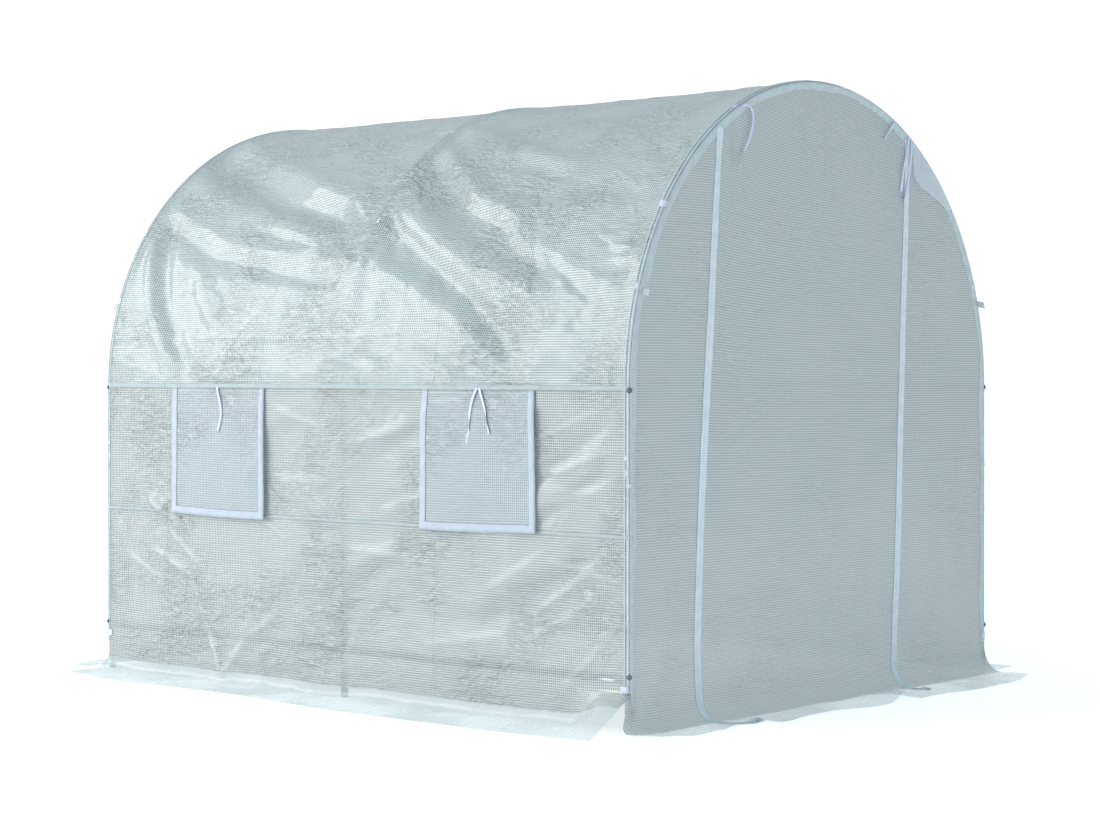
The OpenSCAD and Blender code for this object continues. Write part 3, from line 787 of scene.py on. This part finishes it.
window = {"sill": 0.012, "jamb": 0.022}
screenLow, screenHigh = screenBox[0].z + window["sill"], screenBox[1].z - window["sill"]
flapLow, flapHigh = flapBoxes["left_rear_window_flap"]
windowHalf = (flapHigh.y - flapLow.y) / 2 - window["jamb"]
bandHeight = eaveHeight - seamHeight
openings = [((y - windowHalf + filmEnd) / (2 * filmEnd), (y + windowHalf + filmEnd) / (2 * filmEnd),
             (screenLow - seamHeight) / bandHeight, (screenHigh - seamHeight) / bandHeight)
            for y in (-windowY, windowY)]
for side, sideName in sides:
    sideSheet(f"{sideName}_window_band", side, seamHeight, eaveHeight, wallFilm,
              openings)
    sideSheet(f"{sideName}_lower_wall", side, cover["skirtTop"], seamHeight, wallFilm)
    sideSheet(f"{sideName}_skirt", side, -skirtReach, cover["skirtTop"], skirtFilm)
print("side walls and skirts laid")

door = {"footLeft": -0.685, "headLeft": -0.540, "footRight": 0.415, "headRight": 0.500,
        "bow": 0.014, "bowTop": 1.7, "footTurn": 0.02}
corner = {"flare": {-1: 0.046, 1: 0.012}, "top": 0.13, "leanFrom": 0.12}


def doorLine(right, z):
    # where the door's left or right zip runs
    share = min(1, max(0, z / roofHigh.z))
    if right:
        return mix(door["footRight"], door["headRight"], share)
    bow = door["bow"] * math.sin(math.pi * min(1, max(0, z / door["bowTop"])))
    turned = door["footTurn"] * smoothStep(0.22, 0.0, z)
    return mix(door["footLeft"], door["headLeft"], share) - bow + turned


def hoopLine(z):
    # half width of the end wall at a height
    above = max(0, z - eaveHeight)
    return math.sqrt(max(0, hoopRadius ** 2 - above ** 2)) if above else hoopRadius


def hoopTop(x):
    return eaveHeight + math.sqrt(max(0, hoopRadius ** 2 - x * x))


def doorTop(right):
    # where the zip's line meets the hoop
    z = 1.85
    for _ in range(7):
        z = hoopTop(doorLine(right, z))
    return z


def skirtJoin(x):
    return cover["frontSkirtTop"]


def endBottom(end):
    return lambda x: filletEnd(endFillet(x, end), frontReach(x, end))


def outerX(x, d):
    # the outer corner of an end sheet follows the leg, then leans out a little on the ground
    side = -1 if x < 0 else 1
    return side * (hoopRadius + corner["flare"][side] * smoothStep(corner["top"], 0.0, d))


def endSheet(name, end, across, low, high, columns, material, nodes):
    # across(u, d) gives x; low(x) and high(x) the film's two ends
    def place(u, w):
        d = mix(low(across(u, 0)), high(across(u, 1)), w)
        x = across(u, d)
        return frontPlace(end, x, mix(low(x), high(x), w))

    def layout(u, w):
        x = across(u, 0.5)
        return across(u, mix(low(x), high(x), w)), mix(low(x), high(x), w)

    rows = round((high(across(0.5, 1)) - low(across(0.5, 0))) / cover["cell"])
    bm = bentGrid(columns, max(rows, 4), place, layout,
                  lambda at: Vector((0, end, 0.3 if at.z < 0.05 else 0)))
    bmesh.ops.remove_doubles(bm, verts=bm.verts, dist=0.00002)
    piece = newPiece(name, bm, material)
    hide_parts(*nodes)
    declareSheet(piece)


def wallAcross(right):
    # from the leg or arch in to the door's edge
    def across(u, d):
        line = doorLine(right, d)
        outer = outerX(line, d) if d < corner["leanFrom"] else math.copysign(hoopLine(d), line)
        return mix(outer, line, u)
    return across


def doorAcross(u, d):
    return mix(doorLine(False, d), doorLine(True, d), u)


def rearAcross(u, d):
    return -hoopRadius * math.cos(math.pi * u)


def rearSkirtAcross(u, d):
    return mix(outerX(-1, d), outerX(1, d), u)


for right, sideName in ((False, "left"), (True, "right")):
    endSheet(f"front_wall_{sideName}_film", -1, wallAcross(right), skirtJoin,
             lambda x, top=doorTop(right): top, 34, endWallFilm,
             [f"front_wall_{sideName}"])
endSheet("door_panel_film", -1, doorAcross, skirtJoin, hoopTop, 96, endWallFilm,
         ["door_panel"])
endSheet("rear_wall_film", 1, rearAcross, skirtJoin, hoopTop, 170, endWallFilm,
         ["rear_wall"])
for name, node, end, across, columns in (
        ("front_skirt_left", "front_skirt", -1, wallAcross(False), 34),
        ("front_skirt_right", "front_skirt", -1, wallAcross(True), 50),
        ("door_skirt", "door_skirt", -1, doorAcross, 96),
        ("rear_skirt", "rear_skirt", 1, rearSkirtAcross, 170)):
    endSheet(name + "_film", end, across, endBottom(end), skirtJoin, columns, skirtFilm,
             [node])
print("end walls, door and end skirts laid")

flap = {"hem": 0.026, "flare": 0.016, "billow": 0.005, "crinkle": 0.0012, "curl": 0.0018,
        "bottomBow": 0.004, "thickness": 0.0006, "tapeThickness": 0.0009, "top": 0.006,
        "offWall": 0.0012, "tapeLift": 0.0011}


def makeFlap(name):
    low, high = flapBoxes[name]
    side = -1 if low.x < 0 else 1
    front = -1 if low.y < 0 else 1
    width, height = high.y - low.y, high.z - low.z - flap["top"]
    flare = flap["flare"] * (1.2 if front < 0 else 0.4)

    def place(u, w, lift=0):
        y = mix(low.y, high.y, u) + flare * (1 - w) * (u - 0.35)
        z = low.z + w * height - flap["bottomBow"] * (1 - w) * math.sin(3 * u + front)
        wave = 0.5 + noise.noise(Vector((side, y * 3.1, z * 2.6)))
        puff = flap["billow"] * wave * smoothStep(1, 0.75, w)
        creased = ridged(Vector((side * 2, y, z * 1.3)), 9.0, 2.0) + 0.4
        puff += flap["crinkle"] * creased * smoothStep(1, 0.9, w)
        curled = 0.4 + abs(noise.noise(Vector((y * 8, 3.3, side))))
        puff += flap["curl"] * smoothStep(0.12, 0, w) * curled
        return Vector((side * (flapFace - flap["offWall"] + max(0, puff) + lift), y, z))

    def flapPart(part, lift, material, thickness, holes=()):
        bm = bentGrid(44, 40, lambda u, w: place(u, w, lift), lambda u, w: (u * width, w * height),
                      lambda at: Vector((side, 0, 0)), holes)
        return solidify(newPiece(f"{name}_{part}", bm, material), thickness)

    panel = flapPart("panel", 0, windowFilm, flap["thickness"])
    hemU, hemW = flap["hem"] / width, flap["hem"] / height
    tape = flapPart("hem", flap["tapeLift"], hemTape, flap["tapeThickness"],
                    [(hemU, 1 - hemU, hemW, 1.001)])
    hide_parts(name)
    declareSheet(panel)


for name in flapBoxes:
    makeFlap(name)

screen = {"lap": 0.010, "depth": 0.0032, "sag": 0.004}
firstScreen = None
for side, sideName in sides:
    for y, spotName in ((-windowY, "front"), (windowY, "rear")):
        wide = 2 * (windowHalf + screen["lap"])
        tall = screenHigh - screenLow + 2 * screen["lap"]

        def screenPlace(u, w):
            sag = screen["sag"] * math.sin(math.pi * u) * math.sin(math.pi * w)
            return Vector((side * (halfWidth - screen["depth"] - sag), y + (u - 0.5) * wide,
                           screenLow - screen["lap"] + w * tall))

        bm = bentGrid(24, 20, screenPlace, lambda u, w: (u * wide, w * tall),
                      lambda at: Vector((side, 0, 0)))
        piece = newPiece(f"{sideName}_{spotName}_window_screen", bm, screenMesh)
        declareSheet(piece)
        firstScreen = firstScreen or piece
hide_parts("window_screens")
print("window flaps and screens hung")

seam = {"width": 0.016, "lift": 0.0009, "overFlap": 0.0036, "thickness": 0.0005, "foldWidth": 0.010,
        "wander": 0.0012, "crown": 0.0006, "aboveEave": 0.002}


def wallSeam(name, side, s, width, overFlaps=False):
    def place(u, w):
        y = mix(-filmEnd, filmEnd, u)
        lift = seam["lift"] + seam["crown"] * math.sin(math.pi * w)
        if overFlaps:
            fromWindow = abs(abs(y) - windowY)
            lift += seam["overFlap"] * smoothStep(windowHalf + 0.06, windowHalf + 0.035, fromWindow)
        wander = seam["wander"] * noise.noise(Vector((y * 3, s * 9, side)))
        return sidePlace(side, y, s + (w - 0.5) * width + wander, lift)

    bm = bentGrid(260, 4, place, lambda u, w: (w * width, u * 2 * filmEnd),
                  lambda at: Vector((side, 0, 0)))
    return solidify(newPiece(name, bm, seamTape), seam["thickness"])


for side, sideName in sides:
    wallSeam(f"{sideName}_eave_seam", side, eaveHeight + seam["aboveEave"],
                              seam["width"], True)
    wallSeam(f"{sideName}_lower_seam", side, seamHeight, seam["foldWidth"])
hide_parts("wall_seams")

hemFoot = 0.10                      # the hem along the hoops starts this far above the ground
legRun = eaveHeight - hemFoot
archRun = math.pi * hoopRadius
hoopRun = 2 * legRun + archRun


def hoopSpot(q):
    # a spot on the hoop's centre line, q metres from the left leg's foot, and the way out from it
    if q < legRun:
        return Vector((-hoopRadius, 0, hemFoot + q)), Vector((-1, 0, 0))
    if q < legRun + archRun:
        theta = math.pi - (q - legRun) / hoopRadius
        out = Vector((math.cos(theta), 0, math.sin(theta)))
        return Vector((0, 0, eaveHeight)) + out * hoopRadius, out
    return Vector((hoopRadius, 0, eaveHeight - (q - legRun - archRun))), Vector((1, 0, 0))


def hoopRunAt(angle, right=False):
    # run along the hoop at an angle above the eave
    return legRun + math.radians(180 - angle if right else angle) * hoopRadius


def hemPlace(end, q, c, lift=0):
    # c runs from the roof side over the hoop (0 is its top line) and down on to the end wall
    centre, out = hoopSpot(q)
    turn = min(max(0, c) / wrapRadius, math.pi / 2)
    spot = centre + out * (wrapRadius + lift) * math.cos(turn)
    spot.y = end * (hoopY + (wrapRadius + lift) * math.sin(turn) + min(0, c))
    down = max(0, c - wrapRadius * math.pi / 2)
    spot -= out * down
    if down:
        spot.y += end * endDip(end, spot.x, spot.z)
    return spot


def hoopStrip(name, end, start, stop, steps, fromC, toC, lift, material, thickness,
              ragged=0.0):
    def place(u, w):
        q = mix(start, stop, u)
        reach = toC + ragged * noise.noise(Vector((q * 5, end, 0.7)))
        return hemPlace(end, q, mix(fromC, reach, w), lift + 0.0004 * math.sin(math.pi * w))

    bm = bentGrid(steps, 8, place, lambda u, w: (mix(fromC, toC, w), mix(start, stop, u)),
                  lambda at: Vector((at.x, end * 3, max(0, at.z - eaveHeight))))
    return solidify(newPiece(name, bm, material), thickness)


archHem = {"from": 0.012, "to": 0.042, "lift": 0.0006, "thickness": 0.0002, "ragged": 0.012}
archWelt = {"lines": (-0.007, 0.006), "width": 0.004, "lift": 0.0009, "thickness": 0.0005}
for end, endName in ends:
    hoopStrip(f"{endName}_arch_hem", end, 0, hoopRun, 420, archHem["from"],
                                archHem["to"], archHem["lift"], archTape, archHem["thickness"],
                                ragged=archHem["ragged"])
    for number, line in enumerate(archWelt["lines"], 1):
        hoopStrip(f"{endName}_arch_welt_{number}", end, 0, hoopRun, 420, line,
                                    line + archWelt["width"], archWelt["lift"], archTape,
                                    archWelt["thickness"])
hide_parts("arch_seams")

gusset = {"from": 58, "to": 39, "deep": 0.082, "edge": 0.020, "lift": 0.0022, "start": 0.015,
          "cut": (0.33, 0.1)}


def gussetPlace(u, w):
    # plain film let in at the right shoulder, deepest a third of the way down
    reach = gusset["edge"] + gusset["deep"] * smoothStep(0, 0.28, u) * smoothStep(1.15, 0.25, u)
    q = hoopRunAt(mix(gusset["from"], gusset["to"], u), True)
    return hemPlace(-1, q, gusset["start"] + w * reach, gusset["lift"])


bm = bentGrid(40, 12, gussetPlace, lambda u, w: (u * gusset["cut"][0], w * gusset["cut"][1]),
              lambda at: Vector((0, -1, 0)))
newPiece("front_shoulder_gusset", bm, gussetFilm)

tab = {"angle": 17.2, "height": 0.022, "reach": 0.032, "thickness": 0.0008, "droop": 0.006}
for end, endName in ends:
    for side, sideName in sides:
        start = hoopRunAt(tab["angle"], side > 0)

        def tabPlace(u, w):
            centre, out = hoopSpot(start + (u - 0.5) * tab["height"])
            spot = centre - out * (0.002 * math.sin(w * 3))
            spot.y = end * (frontY - 0.002 + w * tab["reach"])
            spot.z -= tab["droop"] * w * w
            return spot

        bm = bentGrid(6, 8, tabPlace, lambda u, w: (u * tab["height"], w * tab["reach"]),
                      lambda at: Vector((side, 0, 0)))
        solidify(newPiece(f"{endName}_{sideName}_guy_tab", bm, seamTape),
                 tab["thickness"])

strap = {"width": 0.024, "thickness": 0.0005, "gap": 0.0002, "legHeights": (0.118, 0.770),
         "angles": (18, 34, 62, 86), "turns": 40, "lap": 0.0010, "uneven": 0.0003}


def strapRing(bm, centre, axis, out):
    # a webbing band once round a tube, its end lapped over
    radius = tubeRadius + strap["gap"]
    across = axis.cross(out)
    layers = bm.loops.layers.uv.verify()
    rim = []
    for edge in (-0.5, 0.5):
        ring = bmesh.ops.create_circle(bm, segments=strap["turns"], radius=radius)["verts"]
        for vert in ring:
            angle = math.atan2(vert.co.y, vert.co.x)
            swell = (strap["lap"] * smoothStep(0.7, 0.2, abs(angle))
                     + strap["uneven"] * math.sin(5 * angle))
            way = out * math.cos(angle) + across * math.sin(angle)
            vert.co = centre + axis * edge * strap["width"] + way * (radius + swell)
        rim += ring
    edges = [edge for edge in bm.edges if all(v in rim for v in edge.verts)]
    for face in bmesh.ops.bridge_loops(bm, edges=edges)["faces"]:
        for loop in face.loops:
            offset = loop.vert.co - centre
            angle = math.atan2(offset.dot(across), offset.dot(out))
            loop[layers].uv = (offset.dot(axis), angle * radius)


for y, hoopName in ((-hoopY, "front"), (0, "middle"), (hoopY, "rear")):
    bm = bmesh.new()
    for side in (-1, 1):
        for height in strap["legHeights"] if y else ():
            strapRing(bm, Vector((side * hoopRadius, y, height)), Vector((0, 0, 1)),
                      Vector((side, 0, 0)))
        for angle in strap["angles"]:
            centre, out = hoopSpot(hoopRunAt(angle, side > 0))
            centre.y = y
            strapRing(bm, centre, out.cross(Vector((0, 1, 0))), out)
    bmesh.ops.recalc_face_normals(bm, faces=bm.faces)
    piece = solidify(newPiece(f"{hoopName}_hoop_straps", bm, strapWeave),
                     strap["thickness"], -1)
    if y < 0:
        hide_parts("hoop_straps")

# straps that show outside the film on the front and rear hoops: run along the hoop, from, to
patch = {"length": 0.022, "lift": 0.0016, "thickness": 0.0008, "narrow": 0.02}
patches = {"foot": (0.028, -0.020, 0.008), "low": (0.633, 0.002, 0.014),
           "high": (0.715, -0.004, 0.008), "shoulder": (hoopRunAt(34), -0.008, 0.016),
           "right_foot": (hoopRun - 0.030, 0.004, 0.034),
           "right_low": (hoopRun - 0.64, 0.002, 0.014),
           "right_shoulder": (hoopRunAt(21, True), 0.012, 0.034)}
for end, endName in ends:
    for spotName, (q, fromC, toC) in patches.items():
        half = patch["length"] * (0.25 if toC - fromC < patch["narrow"] else 0.5)
        hoopStrip(f"{endName}_{spotName}_strap_patch", end, max(0.001, q - half), q + half, 8,
                  fromC, toC, patch["lift"], strapWeave, patch["thickness"])
print("seams, hems and straps laid")

zipper = {"tape": 0.034, "lift": 0.0014, "thickness": 0.0008, "coil": 0.0055, "coilLift": 0.0024,
          "toothPitch": 0.0030, "tooth": 0.0006, "coilCrown": 0.0010, "tapeCrown": 0.0003,
          "steps": 150, "tailSteps": 26, "belowHoop": 0.004, "sliderAt": 0.985}
# where each zip turns on to the ground, and how far its tail then swings and reaches
zipTails = {"left": {"foot": -0.070, "swing": 66, "length": 0.138, "sideways": 1},
            "right": {"foot": -0.055, "swing": 52, "length": 0.0825, "sideways": 0.35}}


def zipSpine(sideName):
    # down the door's edge, round on to the ground and along it
    right, tail = sideName == "right", zipTails[sideName]
    top = doorTop(right) - zipper["belowHoop"]
    spine = []
    for i in range(zipper["steps"] + 1):
        d = mix(top, tail["foot"], i / zipper["steps"])
        x = doorLine(right, d)
        spine.append(Vector((x, d, 0)))
    step = tail["length"] / zipper["tailSteps"]
    for i in range(1, zipper["tailSteps"] + 1):
        heading = smoothStep(0, 0.55, i / zipper["tailSteps"]) * math.radians(tail["swing"])
        x += step * math.sin(heading) * tail["sideways"]
        d -= step * math.cos(heading)
        spine.append(Vector((x, d, 0)))
    return spine


def zipStrip(name, sideName, width, lift, columns, rowLength, crown, tooth=0):
    spine = zipSpine(sideName)
    length = pathLength(spine)

    def place(u, w):
        here, along = pathFrame(spine, w)
        at = here + Vector((along.y, -along.x, 0)) * ((u - 0.5) * width)
        rib = tooth * math.sin(w * length / zipper["toothPitch"] * math.pi * 2)
        return frontPlace(-1, at.x, at.y, lift + rib + (1 - (2 * u - 1) ** 2) * crown)

    bm = bentGrid(columns, round(length / rowLength), place,
                  lambda u, w: ((u - 0.5) * width, w * length), lambda at: Vector((0, -1, 0.3)))
    return newPiece(name, bm, zipTape)


slider = {"body": (0.009, 0.016, 0.0035, 1), "pull": (0.006, 0.024, 0.0014, 1),
          "pullAt": (0.004, -0.022, 0.0012), "pullTurn": 0.3, "round": 0.0006, "lift": 0.004}


def zipSlider(name, sideName):
    here, along = pathFrame(zipSpine(sideName), zipper["sliderAt"])
    spot = frontPlace(-1, here.x, here.y, slider["lift"])
    bm = bmesh.new()
    bmesh.ops.create_cube(bm, size=1, matrix=Matrix.Diagonal(slider["body"]))
    pullPlace = Matrix.Translation(slider["pullAt"]) @ Matrix.Rotation(slider["pullTurn"], 4, "Z")
    bmesh.ops.create_cube(bm, size=1, matrix=pullPlace @ Matrix.Diagonal(slider["pull"]))
    bmesh.ops.bevel(bm, geom=bm.edges[:], offset=slider["round"], affect="EDGES", segments=2,
                    profile=0.5, material=-1)
    turn = Matrix.Rotation(-math.atan2(-along.x, along.y), 4, "Z")
    bmesh.ops.transform(bm, matrix=Matrix.Translation(spot) @ turn, verts=bm.verts)
    newPiece(name, bm, tubeSteel, False)


for side, sideName in sides:
    name = f"door_zip_{sideName}"
    solidify(zipStrip(f"{name}_tape", sideName, zipper["tape"], zipper["lift"], 6,
                                      0.012, zipper["tapeCrown"]), zipper["thickness"])
    zipStrip(f"{name}_coil", sideName, zipper["coil"], zipper["coilLift"], 4, 0.0015,
             zipper["coilCrown"], zipper["tooth"])
    zipSlider(f"{name}_slider", sideName)
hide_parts("door_zips")
print("zips sewn in")

for name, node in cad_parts.items():
    if name.endswith(("_legs", "_arch", "_rails", "_rail")):
        for materialSlot in node.material_slots:
            materialSlot.material = tubeSteel

bolt = {"washer": 0.0085, "washerThickness": 0.0012, "head": 0.0060, "headHeight": 0.0034,
        "crown": 0.55, "shank": 0.003, "shankLength": 0.004, "aboveRail": 0.012, "offFilm": 0.0016,
        "throughFilm": 0.002}


def addBolt(bm, spot, out, reach=0.0):
    # washer, domed head and a bit of shank, its head facing out
    seat = Matrix.Translation(spot) @ out.to_track_quat("Z", "Y").to_matrix().to_4x4()
    washer, head = bolt["washer"], bolt["head"]
    for wide, narrow, tall, segments, rise in (
            (washer, washer, bolt["washerThickness"], 20, bolt["washerThickness"] / 2),
            (head, head * bolt["crown"], bolt["headHeight"], 20,
             bolt["washerThickness"] + bolt["headHeight"] / 2),
            (bolt["shank"], bolt["shank"], bolt["shankLength"] + reach, 12,
             -(bolt["shankLength"] + reach) / 2)):
        bmesh.ops.create_cone(bm, cap_ends=True, segments=segments, radius1=wide, radius2=narrow,
                              depth=tall, matrix=seat @ Matrix.Translation((0, 0, rise)))


bm = bmesh.new()
for y in (-hoopY, 0, hoopY):
    for side in (-1, 1):
        for height in (eaveRailHeight, footRailHeight):
            inner = Vector((side * (hoopRadius - tubeRadius), y, height))
            addBolt(bm, inner, Vector((-side, 0, 0)))
            if y:
                outward = Vector((side, math.copysign(1.0, y), 0)).normalized()
                centre = Vector((side * hoopRadius, y, height + bolt["aboveRail"]))
                addBolt(bm, centre + outward * (wrapRadius + bolt["offFilm"]), outward,
                        bolt["throughFilm"])
    addBolt(bm, Vector((0, y, eaveHeight + hoopRadius - tubeRadius)), Vector((0, 0, -1)))
newPiece("frame_bolts", bm, boltSteel, False)
print("frame finished")

floor = {"half": 30, "drop": 0.0005, "colour": (0.93, 0.93, 0.93), "glow": 0.46}
sky = {"horizon": 0.63, "zenith": 0.80, "darkSide": 0.90, "lightSide": 1.10,
       "brightWay": (-0.62, 0.78, 0), "lowTint": (0.90, 0.95, 0.98), "highTint": (0.80, 0.945, 1.02),
       "backdrop": 1.1}
softBoxes = {
    "skyBox": {"place": (-7.5, 6.9, 4.9), "target": (-0.9, 0, 1.4), "size": (10.5, 5.2),
               "power": 740, "tint": (1, 0.985, 0.95)},
    "lowBox": {"place": (-8.8, 8.2, 1.05), "target": (-1, 0, 1.05), "size": (12.0, 2.0),
               "power": 110, "tint": (1, 0.985, 0.96)},
}


def makeFloor():
    material, tree = shaderTree("paleFloor")
    skin = addNode(tree, "BsdfPrincipled", Roughness=0.9, Base_Color=floor["colour"],
                   Emission_Color=(1, 1, 1), Emission_Strength=floor["glow"])
    addNode(tree, "OutputMaterial", Surface=skin.outputs[0])
    bm = bmesh.new()
    bmesh.ops.create_grid(bm, x_segments=1, y_segments=1, size=floor["half"],
                          matrix=Matrix.Translation((0, 0, -floor["drop"])))
    mesh = bpy.data.meshes.new("floor")
    bm.to_mesh(mesh)
    bm.free()
    mesh.materials.append(material)
    ground = bpy.data.objects.new("floor", mesh)
    bpy.context.scene.collection.objects.link(ground)


def makeSoftBox(name, box):
    data = bpy.data.lights.new(name, "AREA")
    data.shape = "RECTANGLE"
    data.size, data.size_y = box["size"]
    data.energy = box["power"]
    data.color = box["tint"]
    light = bpy.data.objects.new(name, data)
    light.location = box["place"]
    aim = Vector(box["target"]) - Vector(box["place"])
    light.rotation_euler = aim.to_track_quat("-Z", "Y").to_euler()
    bpy.context.scene.collection.objects.link(light)


def makeSky():
    # white behind the object; the sky's own light is strongest overhead and behind on the left
    world = bpy.data.worlds.new("studio")
    world.use_nodes = True
    tree = world.node_tree
    tree.nodes.clear()
    heading = addNode(tree, "TexCoord").outputs["Generated"]
    up = addNode(tree, "SeparateXYZ", Vector=heading).outputs["Z"]
    rise = ramp(tree, up, -0.05, 0.7, sky["horizon"], sky["zenith"])
    turned = addNode(tree, "VectorMath", {"operation": "DOT_PRODUCT"}, i0=heading, i1=sky["brightWay"])
    side = ramp(tree, turned.outputs["Value"], -0.8, 0.9, sky["darkSide"], sky["lightSide"])
    tint = blendColour(tree, ramp(tree, up, 0.0, 0.6), sky["lowTint"], sky["highTint"])
    soft = addNode(tree, "Background", Color=tint, Strength=mathNode(tree, "MULTIPLY", rise, side))
    plain = addNode(tree, "Background", Color=(1, 1, 1), Strength=sky["backdrop"])
    seen = addNode(tree, "LightPath").outputs["Is Camera Ray"]
    addNode(tree, "OutputWorld", Surface=mixShader(tree, seen, soft.outputs[0], plain.outputs[0]))
    bpy.context.scene.world = world


makeFloor()
makeSky()
for name, box in softBoxes.items():
    makeSoftBox(name, box)
bpy.context.scene.view_settings.view_transform = "Standard"
print("floor and lights placed")
